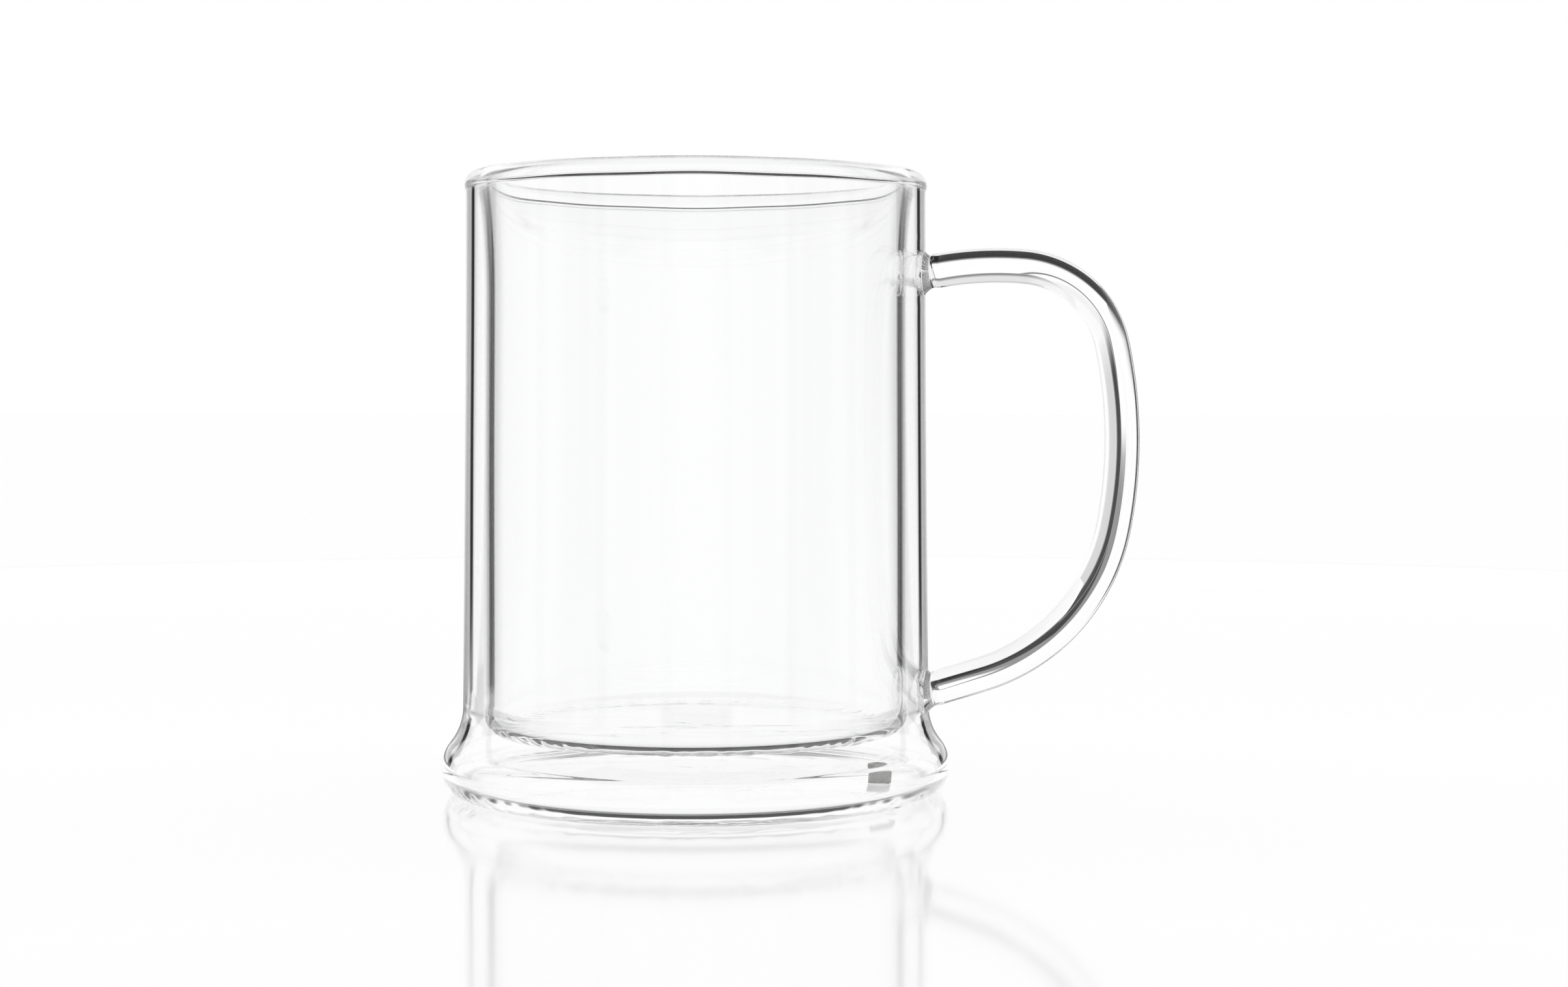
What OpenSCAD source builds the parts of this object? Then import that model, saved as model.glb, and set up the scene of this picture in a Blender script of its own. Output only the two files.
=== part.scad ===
// Double-walled glass beer mug: a drinking cup held inside an outer shell by one fused rim,
// with a bent rod handle welded on and a vent plug in the base.
// Millimetres. The origin is on the mug's axis at the table, +Z is up, the handle is along +X.

/* [Body] */
// Overall height, from the table to the top of the rim
mug_h = 122; // [105:1:150]
// Outside diameter of the outer wall just above the foot
body_d = 92; // [78:0.5:110]
// How much the outer wall draws in, on the radius, from the foot to the rim
wall_taper = 0.4; // [0:0.1:1.2]
// Thickness of the outer wall
outer_wall = 2; // [1.4:0.1:2.8]
// Thickness of the glass under the cavity
base_t = 2; // [1.4:0.1:3.5]

/* [Foot] */
// How far the bell-shaped foot stands out from the wall
foot_spread = 4.3; // [2.5:0.1:6.5]
// Radius of the hollow curve between the wall and the foot
flare_hollow_r = 12; // [8:0.5:16]
// Radius of the round curve above the edge of the foot
flare_round_r = 7.2; // [5:0.2:10]
// Radius of the rounded edge that runs under the foot
heel_r = 4.9; // [3.8:0.1:6.2]
// Width of the flat ring that stands on the table
contact_w = 5; // [3:0.5:8]
// Rise of the underside from the ring to the middle
push_up = 1.2; // [0.4:0.1:2.5]

/* [Inner cup] */
// Width of the air gap between the two walls
air_gap = 2; // [1.2:0.1:4]
// Width of the air gap where it closes at the rim
rim_gap = 0.4; // [0.2:0.1:0.6]
// Thickness of the inner wall
inner_wall = 2; // [1.4:0.1:3]
// Height of the drinking floor above the table
cup_floor_z = 13.2; // [11:0.2:20]
// Thickness of the drinking floor
cup_floor_t = 1.8; // [1.4:0.1:3.5]
// Outside radius of the cup's bottom corner
cup_corner_r = 5; // [3.6:0.2:9]
// Height below the rim over which the cup opens out
cup_flare_h = 21; // [12:1:30]
// How far the inside of the cup opens out over that height
cup_flare_in = 0.65; // [0.3:0.05:1]

/* [Rim] */
// Height of the fused rim
rim_h = 3.6; // [3:0.1:6]
// Radius of the rim's two rounded top edges
rim_round_r = 2.3; // [1.4:0.1:2.5]
// How far the rim stands out from the outer wall
rim_proud = 0.2; // [0.1:0.05:0.6]

/* [Handle] */
// Diameter of the handle's rod
rod_d = 6.8; // [5.5:0.1:8.5]
// Distance from the top of the rim down to the upper weld's centre
upper_weld_drop = 20; // [14:0.5:30]
// Height of the lower weld's centre above the table
lower_weld_z = 20.2; // [18:0.2:30]
// Distance from the wall to the rod's centreline where it is widest
handle_reach = 38.3; // [34:0.1:46]
// Angle above level at which the rod leaves the upper weld
leave_angle = 10; // [6:1:14]
// Angle below level at which the crown runs into the shoulder
crown_angle = 5; // [3:1:9]
// Angle from upright at which the shoulder runs into the back
back_top_angle = 12; // [8:1:16]
// Angle from upright at which the back runs into the lower bend
back_bottom_angle = 11; // [8:1:16]
// Angle above level at which the rod leaves the lower weld
return_angle = 18; // [12:1:24]
// Centreline radius of the shoulder
shoulder_r = 19; // [15:0.5:23]
// Centreline radius of the lower bend
lower_bend_r = 38; // [30:0.5:42]

/* [Handle welds] */
// Length of a weld collar along the rod, measured from the wall
weld_length = 2.4; // [1.9:0.1:4]
// How much wider a collar's foot is than the rod, on the radius
weld_flare = 1.1; // [0.6:0.1:1.6]

/* [Vent plug] */
// Diameter of the silicone plug and of its hole in the base
plug_d = 4.6; // [3:0.1:6]
// Distance from the ring's inner edge in to the plug's centre
plug_inset = 3.8; // [3.2:0.2:15]
// Height of the plug above the glass of the base
plug_stand = 3; // [1.5:0.1:5]
// Height of the plug's lower end above the table
plug_recess = 0.3; // [0.1:0.1:0.6]

/* [Hidden] */
$fn = 96;
// Straight steps that stand for one rounded stretch of an outline
arc_steps = 14;
// Rings along one bend of the rod, and sides of each ring
bend_steps = 14;
rod_sides = 36;
glass_tint = [0.86, 0.93, 0.94, 0.45];
weld_tint = [0.78, 0.88, 0.9, 0.6];
silicone_tint = [0.82, 0.83, 0.84];

// Radii of the walls
body_r = body_d / 2;
mouth_r = body_r - wall_taper;
foot_r = body_r + foot_spread;
cup_r = body_r - outer_wall - air_gap;
cup_mouth_r = mouth_r - outer_wall - rim_gap;
bore_r = cup_r - inner_wall;
bore_mouth_r = bore_r + cup_flare_in;

// Heights of the rim's seam, the cup's floor and the foot's curves
seam_z = mug_h - rim_h;
cup_under_z = cup_floor_z - cup_floor_t;
cup_flare_z = seam_z - cup_flare_h;
flare_angle = acos(1 - foot_spread / (flare_hollow_r + flare_round_r));
flare_top_z = heel_r + (flare_hollow_r + flare_round_r) * sin(flare_angle);

// The ring under the foot, the plug inside it and the roundings that follow a wall
ring_out_r = foot_r - heel_r;
ring_in_r = ring_out_r - contact_w;
plug_x = ring_in_r - plug_inset;
inner_heel_r = heel_r - max(outer_wall, base_t);
inner_corner_r = cup_corner_r - inner_wall;
rim_edge_r = min(rim_round_r, (mouth_r + rim_proud - bore_mouth_r) / 2.1);

// Points along an arc about (cx, cz), from angle a to angle b
function arc(cx, cz, r, a, b) = [
    for (i = [0 : arc_steps])
        let (t = a + (b - a) * i / arc_steps)
        [cx + r * cos(t), cz + r * sin(t)]
];

// Points along a gentle curve that leaves the upright at z0 and is out by w at z0 + h
function easing(r0, z0, w, h) =
    let (big_r = (h * h + w * w) / (2 * w))
    arc(r0 + big_r, z0, big_r, 180, 180 - asin(h / big_r));

// Points along a low dome of height h at the axis that runs down to radius r at z0
function dome(r, z0, h) =
    let (big_r = (r * r + h * h) / (2 * h))
    arc(0, z0 + h - big_r, big_r, 90, 90 - asin(r / big_r));

function reversed(list) = [for (i = [len(list) - 1 : -1 : 0]) list[i]];

// The bell foot from its widest edge up to the wall, moved in by a thickness of glass
function bell(glass) = concat(
    arc(foot_r - flare_round_r, heel_r, flare_round_r - glass, 0, flare_angle),
    arc(body_r + flare_hollow_r, flare_top_z, flare_hollow_r + glass, 180 + flare_angle, 180)
);

// Outside radius of the shell at a height on its wall or on the hollow of its foot
function wall_r(z) =
    z < flare_top_z
        ? body_r + flare_hollow_r - sqrt(pow(flare_hollow_r, 2) - pow(flare_top_z - z, 2))
        : body_r - wall_taper * (z - flare_top_z) / (seam_z - flare_top_z);

// Half sections, with the radius first and the height second
module shell_outside() {
    polygon(concat(
        dome(ring_in_r, 0, push_up),
        arc(ring_out_r, heel_r, heel_r, -90, 0),
        bell(0),
        [[mouth_r, seam_z], [0, seam_z]]
    ));
}

module shell_cavity() {
    polygon(concat(
        dome(ring_in_r, base_t, push_up),
        arc(foot_r - outer_wall - inner_heel_r, base_t + inner_heel_r, inner_heel_r, -90, 0),
        bell(outer_wall),
        [[mouth_r - outer_wall, seam_z], [mouth_r - outer_wall, mug_h], [0, mug_h]]
    ));
}

module cup_section() {
    polygon(concat(
        [[0, cup_under_z]],
        arc(cup_r - cup_corner_r, cup_under_z + cup_corner_r, cup_corner_r, -90, 0),
        easing(cup_r, cup_flare_z, cup_mouth_r - cup_r, cup_flare_h),
        reversed(easing(bore_r, cup_flare_z, cup_flare_in, cup_flare_h)),
        arc(bore_r - inner_corner_r, cup_floor_z + inner_corner_r, inner_corner_r, 0, -90),
        [[0, cup_floor_z]]
    ));
}

module rim_section() {
    round_z = mug_h - rim_edge_r;
    polygon(concat(
        [[bore_mouth_r, seam_z], [mouth_r, seam_z]],
        arc(mouth_r + rim_proud - rim_edge_r, round_z, rim_edge_r, 0, 90),
        arc(bore_mouth_r + rim_edge_r, round_z, rim_edge_r, 90, 180)
    ));
}

// Headings of the rod in the handle's plane: 0 points away from the mug, -90 points down
rod_r = rod_d / 2;
heading_leave = leave_angle;
heading_crown = -crown_angle;
heading_back = back_top_angle - 90;
heading_bend = -90 - back_bottom_angle;
heading_return = return_angle - 180;

// Travel along an arc of radius 1 that turns down from one heading to another
function unit_x(from, to) = sin(from) - sin(to);
function unit_z(from, to) = cos(to) - cos(from);

// Where the rod's axis meets the wall, and where the rod meets the two weld collars
upper_foot = [wall_r(mug_h - upper_weld_drop), mug_h - upper_weld_drop];
lower_foot = [wall_r(lower_weld_z), lower_weld_z];
rod_start = upper_foot + weld_length * [cos(leave_angle), sin(leave_angle)];
rod_end = lower_foot + weld_length * [cos(return_angle), sin(return_angle)];
widest_x = upper_foot[0] + handle_reach;

// Width and height that the shoulder and the lower bend leave to the other stretches
crown_w = widest_x - rod_start[0] - shoulder_r * unit_x(heading_crown, heading_back);
run_w = widest_x - rod_end[0] + lower_bend_r * unit_x(heading_bend, heading_return);
drop_h = rod_start[1] - rod_end[1]
    + shoulder_r * unit_z(heading_crown, heading_back)
    + lower_bend_r * unit_z(heading_bend, heading_return);

// The crown and the lower straight take up the width, and the back takes up the height
crown_x = unit_x(heading_leave, heading_crown);
crown_slope = unit_z(heading_leave, heading_crown) / crown_x;
run_slope = tan(return_angle);
back_out_x = unit_x(heading_back, -90);
back_in_x = unit_x(-90, heading_bend);
back_z = unit_z(heading_back, heading_bend);
back_r = (drop_h + crown_w * crown_slope - run_w * run_slope)
    / (back_out_x * crown_slope + back_in_x * run_slope - back_z);
crown_r = (crown_w - back_r * back_out_x) / crown_x;

// Places along one bend of the rod after its first point, each with its heading
function bend(first, r, from, to) = [
    for (i = [1 : bend_steps])
        let (h = from + (to - from) * i / bend_steps)
        [first + r * [unit_x(from, h), unit_z(from, h)], h]
];
function end_of(places) = places[len(places) - 1][0];

crown = bend(rod_start, crown_r, heading_leave, heading_crown);
shoulder = bend(end_of(crown), shoulder_r, heading_crown, heading_back);
back = bend(end_of(shoulder), back_r, heading_back, heading_bend);
lower_bend = bend(end_of(back), lower_bend_r, heading_bend, heading_return);
rod_places = concat(
    [[rod_start, heading_leave]], crown, shoulder, back, lower_bend, [[rod_end, heading_return]]
);

// Round rod through a list of places
module bent_rod(places) {
    rings = len(places);
    points = [
        for (place = places, k = [0 : rod_sides - 1])
            let (out = rod_r * cos(360 * k / rod_sides), across = rod_r * sin(360 * k / rod_sides))
            [place[0][0] - out * sin(place[1]), across, place[0][1] + out * cos(place[1])]
    ];
    sides = [
        for (i = [0 : rings - 2], k = [0 : rod_sides - 1])
            let (next = (k + 1) % rod_sides, low = i * rod_sides, high = low + rod_sides)
            [low + k, low + next, high + next, high + k]
    ];
    start_cap = [for (k = [rod_sides - 1 : -1 : 0]) k];
    end_cap = [for (k = [0 : rod_sides - 1]) (rings - 1) * rod_sides + k];
    polyhedron(points, concat([start_cap], sides, [end_cap]));
}

// Collar that widens from the rod to its foot and is cut to the shell's wall
module weld_collar(foot, heading) {
    collar_r = rod_r + weld_flare;
    difference() {
        translate([foot[0], 0, foot[1]])
            rotate([0, 90 - heading, 0])
            rotate_extrude()
            polygon(concat(
                [[0, -collar_r], [collar_r, -collar_r]],
                arc(collar_r, weld_length, weld_flare, 270, 180),
                [[0, weld_length]]
            ));
        rotate_extrude() shell_outside();
    }
}

module plug_shape(low, high) {
    translate([plug_x, 0, low]) cylinder(d = plug_d, h = high - low);
}

module outer_shell() {
    color(glass_tint)
    difference() {
        rotate_extrude()
            difference() {
                shell_outside();
                shell_cavity();
            }
        plug_shape(-base_t, push_up + 2 * base_t);
    }
}

module inner_cup() {
    color(glass_tint) rotate_extrude() cup_section();
}

module rim_weld() {
    color(weld_tint) rotate_extrude() rim_section();
}

module handle() {
    color(glass_tint) bent_rod(rod_places);
}

module upper_handle_weld() {
    color(weld_tint) weld_collar(upper_foot, leave_angle);
}

module lower_handle_weld() {
    color(weld_tint) weld_collar(lower_foot, return_angle);
}

module vent_plug() {
    color(silicone_tint) plug_shape(plug_recess, base_t + plug_stand);
}

outer_shell();
inner_cup();
rim_weld();
handle();
upper_handle_weld();
lower_handle_weld();
vent_plug();
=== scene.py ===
"""Clear double-walled glass beer mug on a pale table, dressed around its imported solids.

Everything is in metres, in the frame of the solids: the origin is on the mug's axis at the table, +Z is up
and the handle is along +X. Turned pieces are revolved from a half section, and the handle is swept along its
path. The studio's dark cards are measured in millimetres.
"""

import logging
import math
from collections.abc import Callable, Iterable
from dataclasses import dataclass, field
from enum import Enum
from functools import reduce

import bpy
import numpy as np
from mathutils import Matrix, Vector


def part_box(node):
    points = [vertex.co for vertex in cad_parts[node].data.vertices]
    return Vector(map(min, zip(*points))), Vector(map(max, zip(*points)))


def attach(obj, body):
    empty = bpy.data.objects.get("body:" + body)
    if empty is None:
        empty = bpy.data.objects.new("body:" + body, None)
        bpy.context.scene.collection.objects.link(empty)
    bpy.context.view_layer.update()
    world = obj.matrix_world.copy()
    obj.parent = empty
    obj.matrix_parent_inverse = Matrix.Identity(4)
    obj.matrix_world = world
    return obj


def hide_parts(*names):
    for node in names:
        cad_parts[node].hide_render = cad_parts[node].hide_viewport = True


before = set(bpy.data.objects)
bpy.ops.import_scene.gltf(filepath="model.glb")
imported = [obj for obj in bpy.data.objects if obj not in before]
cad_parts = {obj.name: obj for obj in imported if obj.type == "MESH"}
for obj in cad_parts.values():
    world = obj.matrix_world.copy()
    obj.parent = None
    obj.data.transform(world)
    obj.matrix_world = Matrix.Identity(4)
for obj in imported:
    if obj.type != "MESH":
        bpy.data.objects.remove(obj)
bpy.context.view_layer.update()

log = logging.getLogger("mug")

MM = 0.001
BODY = "root"

# Steps round every turned piece, and steps along one rounded stretch of a section
SEGMENTS = 320
ARC_STEPS = 20
# Cells across the square that is cut out of the wall round a weld, and out of the base round the plug
WELD_CELLS = 16
PLUG_CELLS = 10
# Angle past which two faces meet in a crisp edge
CRISP_ANGLE = math.radians(40)
# Lengths under which two points are one, and under which a face lies on the seam
SAME_POINT = 1e-7
ON_SEAM = 1e-6

Point = tuple[float, float, float]
Colour = tuple[float, float, float]
Face = tuple[int, ...]
Socket = bpy.types.NodeSocket


class Slot(Enum):
    """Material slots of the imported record."""

    GLASS = "clear_glass"
    SILICONE = "silicone"


class Skin(Enum):
    """What a face of a glass piece is: a bare surface, or the inside of a weld where glass runs on."""

    BARE = 0
    FUSED = 1


class NodeBoard:
    """A node tree with short ways to add, set and wire its nodes."""

    def __init__(self, tree: bpy.types.NodeTree) -> None:
        """Takes an empty node tree."""
        self.tree = tree

    def add(
        self, kind: str, sources: dict[str | int, object] | None = None, **settings: object
    ) -> bpy.types.Node:
        """Adds one node.

        Args:
            kind: Blender's name of the node's type.
            sources: outputs or plain values for its inputs, by the input's name or number.
            settings: attributes of the node and their values.

        Returns:
            The new node.
        """
        node = self.tree.nodes.new(kind)
        for name, value in settings.items():
            setattr(node, name, value)
        for key, source in (sources or {}).items():
            if isinstance(source, Socket):
                self.tree.links.new(source, node.inputs[key])
            else:
                node.inputs[key].default_value = source
        return node

    def math(self, operation: str, first: object, second: object = 0.0) -> Socket:
        """Adds a Math node on two outputs or numbers, and gives its output."""
        return self.add("ShaderNodeMath", {0: first, 1: second}, operation=operation).outputs[0]

    def show(self, shader: bpy.types.Node) -> None:
        """Wires a shader to the surface of the tree's material."""
        self.add("ShaderNodeOutputMaterial", {"Surface": shader.outputs[0]})


def empty_material(name: str) -> tuple[bpy.types.Material, bpy.types.NodeTree]:
    """Makes a material without nodes.

    Args:
        name: the material's name.

    Returns:
        The material and its node tree.
    """
    made = bpy.data.materials.new(name)
    made.use_nodes = True
    made.node_tree.nodes.clear()
    return made, made.node_tree


@dataclass(frozen=True)
class GlassFinish:
    """Clear blown glass, with the slow waves that the blower's hands leave in it."""

    name: str
    tint: Colour = (0.995, 0.997, 0.996)
    ior: float = 1.47
    roughness: float = 0.0
    wave_length: float = 24 * MM
    wave_height: float = 0.02 * MM
    wave_draw: float = 3.0

    def material(self) -> bpy.types.Material:
        """Builds the glass.

        Returns:
            The material.
        """
        made, tree = empty_material(self.name)
        board = NodeBoard(tree)
        place = board.add("ShaderNodeTexCoord").outputs["Object"]
        drawn = board.add("ShaderNodeMapping", {"Vector": place, "Scale": (1.0, 1.0, 1.0 / self.wave_draw)})
        wave = {"Vector": drawn.outputs[0], "Scale": 1.0 / self.wave_length, "Detail": 1.0}
        height = board.add("ShaderNodeTexNoise", wave).outputs[0]
        bump = {"Height": height, "Strength": 1.0, "Distance": self.wave_height}
        look = {
            "Base Color": (*self.tint, 1.0),
            "Roughness": self.roughness,
            "IOR": self.ior,
            "Transmission Weight": 1.0,
            "Normal": board.add("ShaderNodeBump", bump).outputs[0],
        }
        board.show(board.add("ShaderNodeBsdfPrincipled", look))
        return made


@dataclass(frozen=True)
class ClearFinish:
    """Nothing to see: the inside of a weld, where glass runs on, or a clear film."""

    name: str

    def material(self) -> bpy.types.Material:
        """Builds the see-through material.

        Returns:
            The material.
        """
        made, tree = empty_material(self.name)
        board = NodeBoard(tree)
        board.show(board.add("ShaderNodeBsdfTransparent"))
        return made


@dataclass(frozen=True)
class SiliconeFinish:
    """Milky, faintly grained silicone rubber."""

    name: str = "milky_silicone"
    pale: Colour = (0.5, 0.5, 0.49)
    dark: Colour = (0.16, 0.16, 0.155)
    ior: float = 1.41
    roughness: float = 0.35
    clearness: float = 0.45
    grain: float = 0.9 * MM
    grain_height: float = 0.05 * MM
    grain_strength: float = 0.4

    def material(self) -> bpy.types.Material:
        """Builds the rubber.

        Returns:
            The material.
        """
        made, tree = empty_material(self.name)
        board = NodeBoard(tree)
        place = board.add("ShaderNodeTexCoord").outputs["Object"]
        cloud = board.add("ShaderNodeTexNoise", {"Vector": place, "Scale": 1.0 / self.grain}).outputs[0]
        shades = {"Factor": cloud, "A": (*self.dark, 1.0), "B": (*self.pale, 1.0)}
        bump = {"Height": cloud, "Strength": self.grain_strength, "Distance": self.grain_height}
        look = {
            "Base Color": board.add("ShaderNodeMix", shades, data_type="RGBA").outputs["Result"],
            "Roughness": self.roughness,
            "IOR": self.ior,
            "Transmission Weight": self.clearness,
            "Normal": board.add("ShaderNodeBump", bump).outputs[0],
        }
        board.show(board.add("ShaderNodeBsdfPrincipled", look))
        return made


class Section:
    """Half section of a turned piece, drawn from point to point as radius and height."""

    def __init__(self) -> None:
        """Starts an empty section."""
        self.points: list[tuple[float, float]] = []

    def to(self, radius: float, height: float, steps: int = 1) -> "Section":
        """Draws a straight stretch.

        Args:
            radius: radius of its end.
            height: height of its end.
            steps: number of even steps along it.

        Returns:
            The section.
        """
        if self.points:
            r0, z0 = self.points[-1]
            if math.hypot(radius - r0, height - z0) < SAME_POINT:
                return self
            for i in range(1, steps):
                self.points.append((r0 + (radius - r0) * i / steps, z0 + (height - z0) * i / steps))
        self.points.append((radius, height))
        return self

    def arc(
        self,
        centre: tuple[float, float],
        bend: float,
        angles: tuple[float, float],
        steps: int = ARC_STEPS,
        tall: float | None = None,
    ) -> "Section":
        """Draws a round stretch.

        Args:
            centre: radius and height of the curve's centre.
            bend: radius of the curve.
            angles: first and last angle, in degrees from outwards to upwards.
            steps: number of even steps along it.
            tall: upright radius, where the curve is an ellipse.

        Returns:
            The section.
        """
        for i in range(steps + 1):
            a = math.radians(angles[0] + (angles[1] - angles[0]) * i / steps)
            self.to(centre[0] + bend * math.cos(a), centre[1] + (tall or bend) * math.sin(a))
        return self


def band(low: list[int], high: list[int]) -> list[Face]:
    """Faces between two closed rings of points, with triangles where a ring is one point.

    Args:
        low: numbers of the first ring's points.
        high: numbers of the second ring's points.

    Returns:
        The faces.
    """
    after = low[1:] + low[:1], high[1:] + high[:1]
    return [tuple(dict.fromkeys(corners)) for corners in zip(low, after[0], after[1], high)]


def turned_rings(
    rows: list[tuple[float, float]], sides: int, axis_x: float
) -> tuple[list[Point], list[list[int]]]:
    """Rings of points round an upright axis.

    Args:
        rows: radius and height of each ring.
        sides: number of points in a ring.
        axis_x: the axis's place along X.

    Returns:
        The points, and each ring's point numbers.
    """
    turn = 2 * np.pi * np.arange(sides) / sides
    points: list[Point] = []
    rings: list[list[int]] = []
    for radius, height in rows:
        if radius < SAME_POINT:
            rings.append([len(points)] * sides)
            points.append((axis_x, 0.0, height))
            continue
        rings.append(list(range(len(points), len(points) + sides)))
        points += list(zip(axis_x + radius * np.cos(turn), radius * np.sin(turn), [height] * sides))
    return points, rings


@dataclass
class MugSizes:
    """Sizes of the mug: the outer ones are read from the solids, the walls and curves are set here."""

    top: float = field(default_factory=lambda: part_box("rim_weld")[1].z)
    seam: float = field(default_factory=lambda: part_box("outer_shell")[1].z)
    foot_r: float = field(default_factory=lambda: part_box("outer_shell")[1].x)
    rim_r: float = field(default_factory=lambda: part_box("rim_weld")[1].x)
    cup_mouth_r: float = field(default_factory=lambda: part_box("inner_cup")[1].x)
    cup_under: float = field(default_factory=lambda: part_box("inner_cup")[0].z)
    foot_spread: float = 4.3 * MM
    wall_taper: float = 0.4 * MM
    outer_wall: float = 2 * MM
    base: float = 2 * MM
    air_gap: float = 2 * MM
    inner_wall: float = 2 * MM
    cup_floor: float = 1.8 * MM
    flare_hollow: float = 12 * MM
    flare_round: float = 7.2 * MM
    heel: float = 4.9 * MM
    contact: float = 5 * MM
    push_up: float = 1.2 * MM
    cup_corner: float = 5 * MM
    cup_flare_h: float = 21 * MM
    cup_flare_in: float = 0.85 * MM
    lip: float = 0.8 * MM
    channel: float = 0.38 * MM

    def __post_init__(self) -> None:
        """Works out the radii and heights that follow."""
        self.body_r = self.foot_r - self.foot_spread
        self.mouth_r = self.body_r - self.wall_taper
        self.gap_out_r = self.mouth_r - self.outer_wall
        self.cup_r = self.body_r - self.outer_wall - self.air_gap
        self.bore_r = self.cup_r - self.inner_wall
        self.bore_mouth_r = self.bore_r + self.cup_flare_in
        self.floor_z = self.cup_under + self.cup_floor
        self.flare_z = self.seam - self.cup_flare_h
        curves = self.flare_hollow + self.flare_round
        self.flare_angle = math.degrees(math.acos(1 - self.foot_spread / curves))
        self.flare_top = self.heel + curves * math.sin(math.radians(self.flare_angle))
        self.ring_out_r = self.foot_r - self.heel
        self.ring_in_r = self.ring_out_r - self.contact

    def wall_r(self, height: np.ndarray | float) -> np.ndarray:
        """Finds the outside radius of the wall, or of the hollow of the foot.

        Args:
            height: one height, or several.

        Returns:
            The radii.
        """
        drop = np.clip(self.flare_top - height, 0.0, self.flare_hollow)
        hollow = self.body_r + self.flare_hollow - np.sqrt(self.flare_hollow**2 - drop**2)
        rise = np.clip(height - self.flare_top, 0.0, None) / (self.seam - self.flare_top)
        return hollow - self.wall_taper * rise

    def dome_z(self, radius: np.ndarray | float) -> np.ndarray:
        """Height of the underside's low dome at some radii."""
        big = (self.ring_in_r**2 + self.push_up**2) / (2 * self.push_up)
        return self.push_up - big + np.sqrt(big**2 - np.minimum(radius, self.ring_in_r) ** 2)


@dataclass
class HandWork:
    """Small waves that handwork leaves in the shape, as one shift of space that all glass pieces share.

    A seam part is strength, count round the mug and phase. A swell part has also a slope per metre of height,
    before the phase. A chatter part is count, sway, the sway's count and phase.
    """

    sizes: MugSizes
    seam_wave: float = 0.22 * MM
    seam_reach: float = 3.5 * MM
    seam_parts: tuple[tuple[float, int, float], ...] = ((0.5, 2, 0.6), (0.35, 5, 2.1), (0.25, 11, 4.0))
    floor_ripple: float = 0.022 * MM
    wall_wave: float = 0.02 * MM
    swell_parts: tuple[tuple[float, int, float, float], ...] = ((1.0, 3, 60, 0.0), (0.6, 7, -90, 1.0))
    heel_chatter: float = 0.07 * MM
    corner_chatter: float = 0.06 * MM
    chatter_parts: tuple[tuple[int, int, int, float], ...] = (
        (53, 3, 5, 0.0),
        (31, 0, 0, 1.7),
        (71, 2, 9, 0.0),
    )

    @staticmethod
    def fade(value: np.ndarray, none: float, full: float) -> np.ndarray:
        """How far values have come from where a wave begins to where it is full, in millimetres."""
        return np.clip((value / MM - none) / (full - none), 0, 1)

    def shift(self, points: np.ndarray) -> np.ndarray:
        """Moves points of the even shape to where the handwork leaves them.

        Args:
            points: rows of x, y and z.

        Returns:
            The moved rows.
        """
        x, y, z = points.T
        r = np.hypot(x, y)
        turn = np.arctan2(y, x)
        fade = self.fade
        near_seam = np.exp(-(((z - self.sizes.seam) / self.seam_reach) ** 2))
        seam = sum(strength * np.sin(count * turn + phase) for strength, count, phase in self.seam_parts)
        # Waves per metre across the cup's floor, each bent a little by another one
        ripple = (
            np.sin(330 * x + 190 * y + 3 * np.sin(95 * x))
            + np.sin(-160 * x + 410 * y + 2 * np.sin(120 * y) + 1.3)
            + 0.6 * np.sin(700 * r + 2 * np.sin(2 * turn))
        )
        swell = sum(
            strength * np.sin(count * turn + slope * z + phase)
            for strength, count, slope, phase in self.swell_parts
        )
        chatter = sum(
            np.sin(count * turn + sway * np.sin(times * turn) + phase)
            for count, sway, times, phase in self.chatter_parts
        )
        on_floor = fade(r, 37, 32) * fade(z, 18, 15)
        on_wall = fade(r, 50, 46) * fade(r, 36, 39) * fade(z, 18, 26)
        on_heel = fade(r, 44, 45.5) * fade(z, 1.8, 1.0) * fade(z, 0, 0.15)
        on_corner = fade(z, 13, 12.4) * fade(z, 10, 11) * fade(r, 35, 37) * fade(r, 42.5, 41.5)
        dz = self.seam_wave * near_seam * seam + self.floor_ripple * on_floor * ripple
        dz += self.corner_chatter * on_corner * chatter
        dr = self.wall_wave * on_wall * swell + self.heel_chatter * on_heel * chatter
        grown = 1 + dr / np.maximum(r, ON_SEAM)
        return np.column_stack((x * grown, y * grown, z + dz))


class GlassTree:
    """A node tree that makes glass geometry from an outline, with the first and last steps that all share."""

    def __init__(self, name: str, inputs: dict[str, str]) -> None:
        """Starts the tree.

        Args:
            name: the tree's name.
            inputs: kind of socket by name, for inputs beside the Outline and the Glass.
        """
        self.tree = bpy.data.node_groups.new(name, "GeometryNodeTree")
        self.tree.is_modifier = True
        face = self.tree.interface
        for label, kind in {"Outline": "Geometry", **inputs, "Glass": "Material"}.items():
            face.new_socket(label, in_out="INPUT", socket_type="NodeSocket" + kind)
        face.new_socket("Body", in_out="OUTPUT", socket_type="NodeSocketGeometry")
        self.board = NodeBoard(self.tree)
        self.given = self.board.add("NodeGroupInput").outputs
        outline = {"Mesh": self.given["Outline"]}
        self.curve = self.board.add("GeometryNodeMeshToCurve", outline).outputs["Curve"]

    def end(self, body: Socket) -> None:
        """Makes the body plain geometry, gives it its glass and hands it out.

        Args:
            body: the geometry so far.
        """
        real = self.board.add("GeometryNodeRealizeInstances", {"Geometry": body}).outputs["Geometry"]
        glass = {"Geometry": real, "Material": self.given["Glass"]}
        dressed = self.board.add("GeometryNodeSetMaterial", glass)
        self.board.add("NodeGroupOutput", {"Body": dressed.outputs["Geometry"]})


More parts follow.
